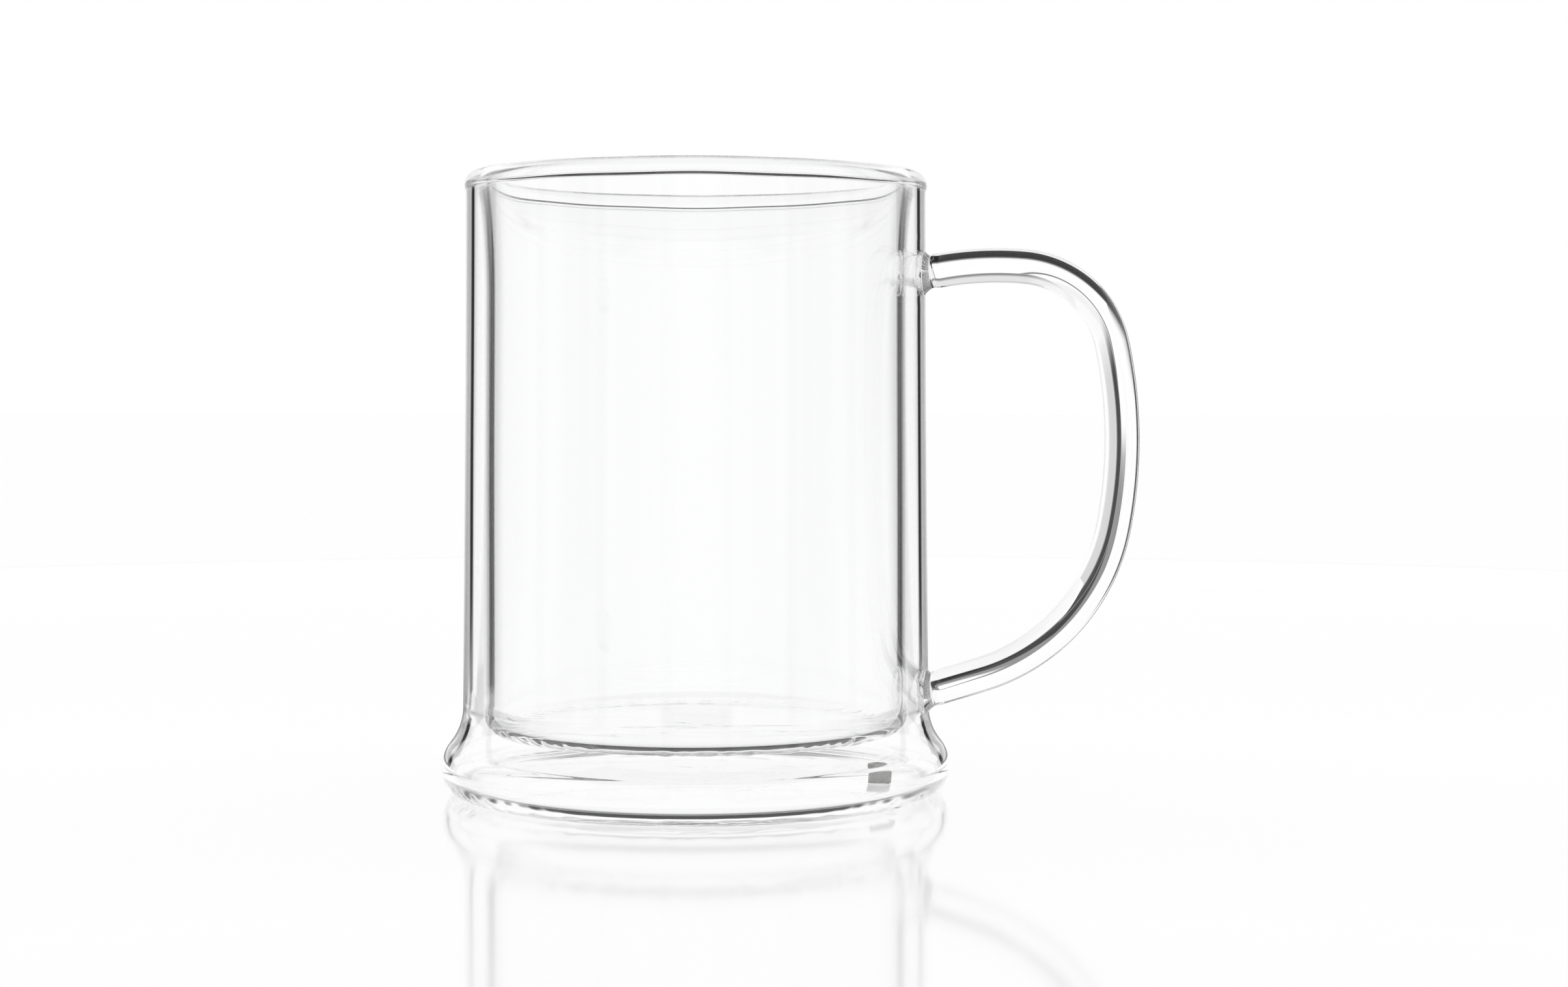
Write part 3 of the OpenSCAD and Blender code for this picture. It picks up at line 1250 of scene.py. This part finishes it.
# Steps that several cards share
BEHIND = Step(By.BEHIND, -20, 20, FRONT_SHARE, 1.0)
REAR = Step(By.BEHIND, 99.9, 100.1)
NOT_BESIDE = Step(By.BESIDE, 50, 70)
ROOF = Step(By.HEIGHT, 150, 170, 0.0, 0.95)
SOFT_RISE = Step(By.HEIGHT, 0, 120)
OUTSIDE = (Step(By.DISTANCE, 55, 65), Step(By.BEHIND, -80, 20, FRONT_SHARE, 1.0))
RING = (*OUTSIDE, Step(By.DISTANCE, 150, 170, 1.0, 0.0), Step(By.SLANT, 0.96, 0.98, 1.0, 0.0))
STEEP = (*OUTSIDE, Step(By.SLANT, 0.66, 0.76, 1.0, 0.0))
PLUNGING = (Step(By.EASED, 0.23, 0.34, 1.0, 0.0),)
WALL_POST = (Step(By.PITCH, 12, 18), Step(By.PITCH, 24, 27, 0.97, 0.0))
SKIN_POST = (Step(By.PITCH, 8.5, 11.5), Step(By.PITCH, 14, 15.5, 0.97, 0.0))
SIDE_BANDS = (
    (Step(By.SHARE, 0.16, 0.36), Step(By.SHARE, 0.44, 0.5, 1.0, 0.0), BEHIND),
    (Step(By.SHARE, 0.56, 0.6), Step(By.SHARE, 0.68, 0.76, 1.0, 0.3), BEHIND),
)

# What rays meet beyond the tent, by height of their direction
ROOM_CARDS = (
    Card("ceiling", Ray.NOT_ROD, (Step(By.HEIGHT, 400, 600, 0.0, 0.96),)),
    Card("ceiling_by_rod", Ray.ROD, (Step(By.HEIGHT, 400, 600, 0.0, 0.3),)),
    Card("overhead", Ray.MIRROR, (Step(By.HEIGHT, 500, 700, 0.0, 0.96),)),
    *(Card("side_band", Ray.MIRROR, (Step(By.HEIGHT, 90, 130, 0.97, 0.0), *steps)) for steps in SIDE_BANDS),
)

# Painted dark patches in the table's glow, which only rays from the glass meet
TABLE_CARDS = (
    *(Card("plunging", ray, PLUNGING) for ray in (Ray.WALL, Ray.SKIN, Ray.DEEP)),
    *(Card("steep", ray, STEEP) for ray in (Ray.WALL, Ray.SKIN, Ray.DEEP, Ray.MANY)),
    Card("wall_posts", Ray.WALL, (*OUTSIDE, *WALL_POST)),
    Card("ring_middle", Ray.WALL, (*RING, Step(By.TURN, 13, 19, 1.0, 0.1))),
    Card("ring_sides", Ray.WALL, (*RING, Step(By.TURN, 50, 65))),
    Card("skin_posts", Ray.SKIN, (*OUTSIDE, *SKIN_POST)),
    Card("low_skin", Ray.SKIN, (Step(By.DISTANCE, 75, 85), Step(By.SLANT, 0.85, 0.9, 1.0, 0.0))),
    Card("heel", Ray.SKIN, (Step(By.DISTANCE, 52.5, 54.5, 0.5, 0.0), Step(By.TURN, 50, 75))),
    # Painted shadow: a soft dark ring on the table round the mug's foot, seen through the base
    Card(
        "under_foot",
        Ray.THROUGH,
        (
            Step(By.SLANT, 0.5, 0.66, 0.9, 0.12),
            Step(By.DISTANCE, 42, 44, 0.12, 1.0),
            Step(By.DISTANCE, 46, 56, 1.0, 0.0),
        ),
    ),
    Card(
        "upper_run",
        Ray.ROD,
        (Step(By.DISTANCE, 115, 135), Step(By.SLANT, 0.77, 0.8, 1.0, 0.0), Step(By.FALL, 66, 74)),
    ),
    Card(
        "lower_run",
        Ray.ROD,
        (
            Step(By.REACH, 0.62, 0.66),
            Step(By.REACH, 0.765, 0.785, 1.0, 0.75),
            Step(By.REACH, 0.83, 0.87, 1.0, 0.0),
            Step(By.FALL, 66, 74, 1.0, 0.0),
        ),
    ),
    Card("left", Ray.ROD, (Step(By.RIGHT, -30, -20, 1.0, 0.0), Step(By.SLANT, 0.9, 0.95, 1.0, 0.0))),
)
# Painted dark bands on the table, which only rays mirrored off the outside of the glass see
SHEEN_CARDS = tuple(
    Card("side_band", Ray.MIRROR, (Step(By.DISTANCE, 80, 120, 0.0, 0.97), *steps)) for steps in SIDE_BANDS
)
# How much slant the table lets through under the foot and round it
EASE_SIDES = (Step(By.TURN, 40, 75), Step(By.DISTANCE, 43, 45, 0.0, 0.36))
EASE_INSIDE = Step(By.DISTANCE, 41, 43, 0.2, 0.0)
# How the table's shine fades out
TABLE_SHINE = Step(By.DISTANCE, 300, 700, 0.4, 0.0)

# What rays meet on the tent
ROD_POSTS = (
    Card(
        "near_post",
        Ray.ROD,
        (
            Step(By.RIGHT, 108, 116),
            Step(By.RIGHT, 134, 147, 0.98, 0.33),
            Step(By.HEIGHT, 85, 110, 1.0, 0.1),
            NOT_BESIDE,
        ),
    ),
    Card(
        "far_post",
        Ray.ROD,
        (Step(By.RIGHT, -30, -20, 0.98, 0.0), Step(By.HEIGHT, 100, 115, 1.0, 0.0), NOT_BESIDE),
    ),
)
TENT_CARDS = (
    *ROD_POSTS,
    *(Card("roof", ray, (ROOF,)) for ray in (Ray.WALL, Ray.SKIN, Ray.MANY)),
    Card("roof_straight", Ray.THROUGH, (Step(By.HEIGHT, 150, 190, 0.0, 0.96),)),
    Card("soft_corner", Ray.THROUGH, (Step(By.ACROSS, 80, 110, 0.0, 0.15), SOFT_RISE)),
    Card("soft_right", Ray.THROUGH, (Step(By.RIGHT, 30, 90, 0.0, 0.1), SOFT_RISE)),
    Card("panels", Ray.DEEP, (Step(By.BESIDE, 50, 70, 0.0, 0.95),)),
    Card(
        "bar",
        Ray.ROD,
        (
            Step(By.HEIGHT, 155, 165, 0.0, 0.8),
            Step(By.HEIGHT, 167, 200, 1.0, 0.25),
            Step(By.TURN, 30, 44, 1.0, 0.15),
        ),
    ),
    Card(
        "thin_line",
        Ray.ROD,
        (
            Step(By.LINE, 1.5, 4, 0.8, 0.0),
            Step(By.HEIGHT, 75, 85),
            Step(By.HEIGHT, 155, 165, 1.0, 0.0),
            REAR,
        ),
    ),
    Card("skin_posts", Ray.SKIN, (*SKIN_POST, BEHIND)),
    Card("centre", Ray.SKIN, (Step(By.TURN, 10, 14, 0.97, 0.0), Step(By.HEIGHT, 80, 100, 1.0, 0.0), REAR)),
    Card(
        "corner",
        Ray.WALL,
        (Step(By.TURN, 41, 46), Step(By.TURN, 54, 57, 0.98, 0.4), Step(By.TURN, 62, 70, 1.0, 0.0), BEHIND),
    ),
    Card("foot", Ray.WALL, (Step(By.HEIGHT, 6, 10, 0.97, 0.0), Step(By.TURN, 13, 19, 1.0, 0.0))),
    Card("off_centre", Ray.MANY, (Step(By.TURN, 22, 28, 0.0, 0.97),)),
    Card(
        "trap",
        Ray.TRAPPED,
        (Step(By.TURN, 14, 22, 0.0, 0.95), Step(By.TURN, 45, 52, 1.0, 0.0), Step(By.HEIGHT, 100, 140)),
    ),
)
# Height under which the tent lets rays from the rod pass to the table, and how far to the right
OPEN_BELOW = Step(By.HEIGHT, 52, 80, 1.0, 0.0)
OPEN_TO = 125


class ShadeBoard(NodeBoard):
    """The node tree of a studio surface, with what can be measured there and the rays that meet it."""

    def __init__(self, tree: bpy.types.NodeTree, place: str, turn_by: float) -> None:
        """Measures the surface across and along the view, and sorts the rays.

        Args:
            tree: an empty node tree.
            place: the texture coordinate that gives the place, or the direction.
            turn_by: angle that turns its axes to those of the view.
        """
        super().__init__(tree)
        self.path = self.add("ShaderNodeLightPath").outputs
        self.levels: dict[Step, Socket] = {}
        metres = self.add("ShaderNodeTexCoord").outputs[place]
        scale = {0: metres, "Scale": 1 / MM}
        self.place = self.add("ShaderNodeVectorMath", scale, operation="SCALE").outputs[0]
        view = {"Vector": self.place, "Angle": turn_by}
        turned = self.add("ShaderNodeVectorRotate", view, rotation_type="Z_AXIS").outputs[0]
        split = self.add("ShaderNodeSeparateXYZ", {0: turned}).outputs
        length = self.add("ShaderNodeVectorMath", {0: self.place}, operation="LENGTH")
        wide, along = self.math("ABSOLUTE", split["X"]), self.math("ABSOLUTE", split["Y"])
        turn = self.math("DEGREES", self.math("ARCTAN2", wide, along))
        self.gauges = {
            By.RIGHT: split["X"],
            By.BEHIND: split["Y"],
            By.HEIGHT: split["Z"],
            By.DISTANCE: length.outputs["Value"],
            By.ACROSS: self.math("MINIMUM", wide, along),
            By.TURN: turn,
            By.PITCH: self.math("MODULO", turn, POST_PITCH),
            By.SHARE: self.math("DIVIDE", wide, self.math("ADD", wide, along)),
        }
        self.rays = self.sort_rays()

    def sort_rays(self) -> dict[Ray, Socket]:
        """Sorts the rays by how they left the glass; one off the table has passed its clear film twice.

        Returns:
            For each kind of ray, an output that is 0 or 1.
        """
        leaving = self.path["Is Transmission Ray"]
        off_table = self.math("GREATER_THAN", self.path["Transparent Depth"], 1.5)
        turns = self.math("SUBTRACT", self.path["Glossy Depth"], off_table)
        rays: dict[Ray, Socket] = {}
        for ray, route in ROUTES.items():
            tests = [leaving]
            for count, (least, most) in zip((turns, self.path["Transmission Depth"]), route):
                if least > 0:
                    tests.append(self.math("GREATER_THAN", count, least - 0.5))
                if most < ENDLESS:
                    tests.append(self.math("LESS_THAN", count, most + 0.5))
            rays[ray] = self.fold("MULTIPLY", tests)
        rays[Ray.NOT_ROD] = self.math("SUBTRACT", leaving, rays[Ray.ROD])
        rays[Ray.MIRROR] = self.math("MULTIPLY", self.path["Is Reflection Ray"], self.path["Is Glossy Ray"])
        return rays

    def fold(self, operation: str, parts: Iterable[Socket]) -> Socket:
        """Joins outputs one after the other with a Math operation."""
        return reduce(lambda first, second: self.math(operation, first, second), parts)

    def level(self, step: Step) -> Socket:
        """Gives a step's output, from one node for all cards that use it.

        Args:
            step: the step.

        Returns:
            The output.
        """
        if step not in self.levels:
            values = dict(enumerate((self.gauges[step.by], step.low, step.high, step.start, step.end)))
            node = self.add("ShaderNodeMapRange", values, interpolation_type="SMOOTHSTEP")
            self.levels[step] = node.outputs[0]
        return self.levels[step]

    def deepest(self, cards: Iterable[Card]) -> Socket:
        """Finds how dark it is where the darkest of some cards counts.

        Args:
            cards: the cards.

        Returns:
            The darkness.
        """
        shades = []
        for card in cards:
            shades.append(self.fold("MULTIPLY", map(self.level, card.steps)))
            shades[-1].node.label = card.name
        return self.fold("MAXIMUM", shades)

    def darkness(self, cards: Iterable[Card], table_shade: float) -> Socket:
        """Finds how dark the cards are to the ray at hand.

        Args:
            cards: the cards, for all kinds of ray.
            table_shade: how much they count for light on its way to the table.

        Returns:
            The darkness.
        """
        met: dict[Ray, list[Card]] = {}
        for card in cards:
            met.setdefault(card.ray, []).append(card)
        shades = [self.math("MULTIPLY", self.rays[ray], self.deepest(dark)) for ray, dark in met.items()]
        keen = self.math("SUBTRACT", 1.0, self.math("MINIMUM", self.path["Diffuse Depth"], 1.0 - table_shade))
        return self.math("MULTIPLY", self.fold("ADD", shades), keen)


@dataclass
class Studio:
    """The table, the light tent and the camera."""

    lens: float = 60.1
    sensor: float = 36.0
    shift_y: float = -0.0708
    yaw: float = 10.0
    eye: Point = (107.5 * MM, -509.4 * MM, 80.6 * MM)
    clip: tuple[float, float] = (0.01, 100.0)
    table_r: float = 6.0
    table_drop: float = 0.08 * MM
    table_shade: float = 0.1
    table_depth: float = 0.985
    table_colour: Colour = (0.99, 0.99, 0.99)
    table_roughness: float = 0.08
    film_r: float = 0.75
    tent_half: float = 148 * MM
    tent_top: float = 300 * MM
    # Places that the cards are measured from, in millimetres as the cards are
    handle_x: float = 70
    reach_from: float = 65
    reach_to: float = 120
    reach_lean: float = 0.0028
    line_x: float = 136
    line_lean: float = 0.3
    far_off: float = 1000

    def __post_init__(self) -> None:
        """Works out the direction in which the camera sees the mug's axis."""
        self.aim = math.atan2(self.eye[0], -self.eye[1])

    def camera(self) -> None:
        """Sets up the camera at the photograph's viewpoint."""
        data = bpy.data.cameras.new("viewpoint")
        data.sensor_width = self.sensor
        data.lens = self.lens
        data.shift_y = self.shift_y
        data.clip_start, data.clip_end = self.clip
        camera = bpy.data.objects.new("viewpoint", data)
        camera.location = self.eye
        camera.rotation_euler = (math.radians(90), 0.0, math.radians(self.yaw))
        bpy.context.scene.collection.objects.link(camera)
        bpy.context.scene.camera = camera

    @staticmethod
    def sheet(name: str, half: float, height: float) -> bpy.types.Object:
        """Makes a level square sheet for the stage.

        Args:
            name: its name.
            half: half its width.
            height: its height.

        Returns:
            The sheet.
        """
        points = [(x * half, y * half, height) for x, y in ((-1, -1), (1, -1), (1, 1), (-1, 1))]
        return Workshop.mesh_object(name, points, [], [(0, 1, 2, 3)])

    def world(self) -> None:
        """White surroundings that also light the table."""
        world = bpy.data.worlds.new("white_room")
        bpy.context.scene.world = world
        world.use_nodes = True
        world.node_tree.nodes.clear()
        board = ShadeBoard(world.node_tree, "Generated", -self.aim)
        bare = board.math("LESS_THAN", board.path["Transparent Depth"], 0.5)
        board.rays[Ray.MIRROR] = board.math("MULTIPLY", board.rays[Ray.MIRROR], bare)
        bright = board.math("SUBTRACT", 1.0, board.darkness(ROOM_CARDS, self.table_shade))
        sky = board.add("ShaderNodeBackground", {"Color": (1.0, 1.0, 1.0, 1.0), "Strength": bright})
        board.add("ShaderNodeOutputWorld", {"Surface": sky.outputs[0]})

    def table(self) -> None:
        """The pale, softly shining table, which to rays from the glass glows with painted brightness and
        painted dark patches.
        """
        table = self.sheet("pale_table", self.table_r, -self.table_drop)
        made, tree = empty_material("pale_table")
        made.cycles.emission_sampling = "NONE"
        board = ShadeBoard(tree, "Object", -self.aim)
        slant = board.add("ShaderNodeLayerWeight", {"Blend": 0.5}).outputs["Facing"]
        at_sides = board.fold("MULTIPLY", map(board.level, EASE_SIDES))
        ease = board.math("ADD", at_sides, board.level(EASE_INSIDE))
        right = board.math("MINIMUM", board.gauges[By.RIGHT], self.reach_to)
        lean = board.math("MULTIPLY", board.math("SUBTRACT", right, self.reach_from), self.reach_lean)
        ends = {0: board.place, 1: (self.handle_x, 0.0, 0.0)}
        apart = board.add("ShaderNodeVectorMath", ends, operation="DISTANCE").outputs["Value"]
        rise = board.math("TANGENT", board.math("ARCSINE", board.math("SUBTRACT", 1.0, slant)))
        board.gauges |= {
            By.SLANT: slant,
            By.EASED: board.math("SUBTRACT", slant, ease),
            By.REACH: board.math("SUBTRACT", slant, lean),
            By.FALL: board.math("MULTIPLY", apart, rise),
        }
        # Painted shade: how dark the painted patches make the table's glow
        dark = board.math("MULTIPLY", board.darkness(TABLE_CARDS, self.table_shade), self.table_depth)
        # Painted reflection: black where rays mirrored off the glass meet the painted side bands
        mirrored = board.math("MULTIPLY", board.rays[Ray.MIRROR], board.deepest(SHEEN_CARDS))
        leaving = board.path["Is Transmission Ray"]
        bright = board.math("MULTIPLY", leaving, board.math("SUBTRACT", 1.0, dark))
        look = {
            "Base Color": (*self.table_colour, 1.0),
            "Roughness": self.table_roughness,
            "Specular IOR Level": board.level(TABLE_SHINE),
        }
        surface = board.add("ShaderNodeBsdfPrincipled", look).outputs[0]
        # Painted light: rays that leave the glass see the table glow instead of its lit surface, darkened by
        # the painted patches
        glow = board.add("ShaderNodeEmission", {"Strength": bright}).outputs[0]
        share = board.math("ADD", leaving, mirrored)
        board.show(board.add("ShaderNodeMixShader", {0: share, 1: surface, 2: glow}))
        table.data.materials.append(made)

    def film(self) -> None:
        """A clear film on the table: rays that come off the table have passed it twice."""
        film = self.sheet("clear_film", self.film_r, -self.table_drop / 2)
        film.visible_diffuse = False
        film.visible_shadow = False
        film.data.materials.append(ClearFinish("clear_film").material())

    def tent(self) -> None:
        """Four white panels round the mug with dark cards on them, seen only through glass."""
        corners = [(x * self.tent_half, y * self.tent_half) for x, y in ((-1, -1), (1, -1), (1, 1), (-1, 1))]
        points = [(x, y, z) for x, y in corners for z in (0.0, self.tent_top)]
        faces = [(2 * k, 2 * k + 1, (2 * k + 3) % 8, (2 * k + 2) % 8) for k in range(4)]
        tent = Workshop.mesh_object("light_tent", points, [], faces)
        tent.rotation_euler = (0.0, 0.0, self.aim)
        for kind in ("camera", "diffuse", "glossy", "shadow"):
            setattr(tent, "visible_" + kind, False)
        made, tree = empty_material("light_tent")
        made.cycles.emission_sampling = "NONE"
        board = ShadeBoard(tree, "Object", 0.0)
        right, height = board.gauges[By.RIGHT], board.gauges[By.HEIGHT]
        off_sides = board.math("LESS_THAN", board.math("ABSOLUTE", right), self.tent_half / MM - 1)
        elsewhere = board.math("MULTIPLY", off_sides, self.far_off)
        leaning = board.math("ADD", board.math("MULTIPLY", height, self.line_lean), right)
        along = board.math("ABSOLUTE", board.gauges[By.BEHIND])
        board.gauges |= {
            By.BESIDE: board.math("ADD", along, elsewhere),
            By.LINE: board.math("ABSOLUTE", board.math("SUBTRACT", leaning, self.line_x)),
        }
        bright = board.math("SUBTRACT", 1.0, board.darkness(TENT_CARDS, self.table_shade))
        between = board.math("LESS_THAN", board.deepest(ROD_POSTS), 0.5)
        gap = (board.rays[Ray.ROD], between, board.math("LESS_THAN", right, OPEN_TO), board.level(OPEN_BELOW))
        glow = board.add("ShaderNodeEmission", {"Strength": bright}).outputs[0]
        clear = board.add("ShaderNodeBsdfTransparent").outputs[0]
        board.show(board.add("ShaderNodeMixShader", {0: board.fold("MULTIPLY", gap), 1: glow, 2: clear}))
        tent.data.materials.append(made)

    def build(self) -> None:
        """Sets up the studio and how far light is followed through the glass."""
        self.camera()
        self.world()
        self.table()
        self.film()
        self.tent()
        scene = bpy.context.scene
        scene.view_settings.view_transform = "Standard"
        scene.cycles.blur_glossy = 0.0
        scene.cycles.max_bounces = 400
        scene.cycles.transmission_bounces = 200
        scene.cycles.glossy_bounces = 380
        scene.cycles.transparent_max_bounces = 200


def report(piece: bpy.types.Object) -> None:
    """Logs one finished piece with its number of faces."""
    log.info("%s: %d faces", piece.name, len(piece.data.polygons))


def main() -> None:
    """Builds the mug piece by piece, then the studio round it."""
    logging.basicConfig(level=logging.INFO)
    sizes = MugSizes()
    shop = Workshop(HandWork(sizes))
    handle = Handle(sizes)
    plug = VentPlug()
    report(OuterShell(sizes, handle, plug.centre_x, plug.radius).build(shop))
    report(InnerCup(sizes).build(shop))
    report(Rim(sizes).build(shop))
    report(handle.build_rod(shop))
    for end in handle.welds:
        report(handle.build_collar(shop, end))
    report(plug.build(shop))
    Studio().build()


if __name__ == "__main__":
    main()
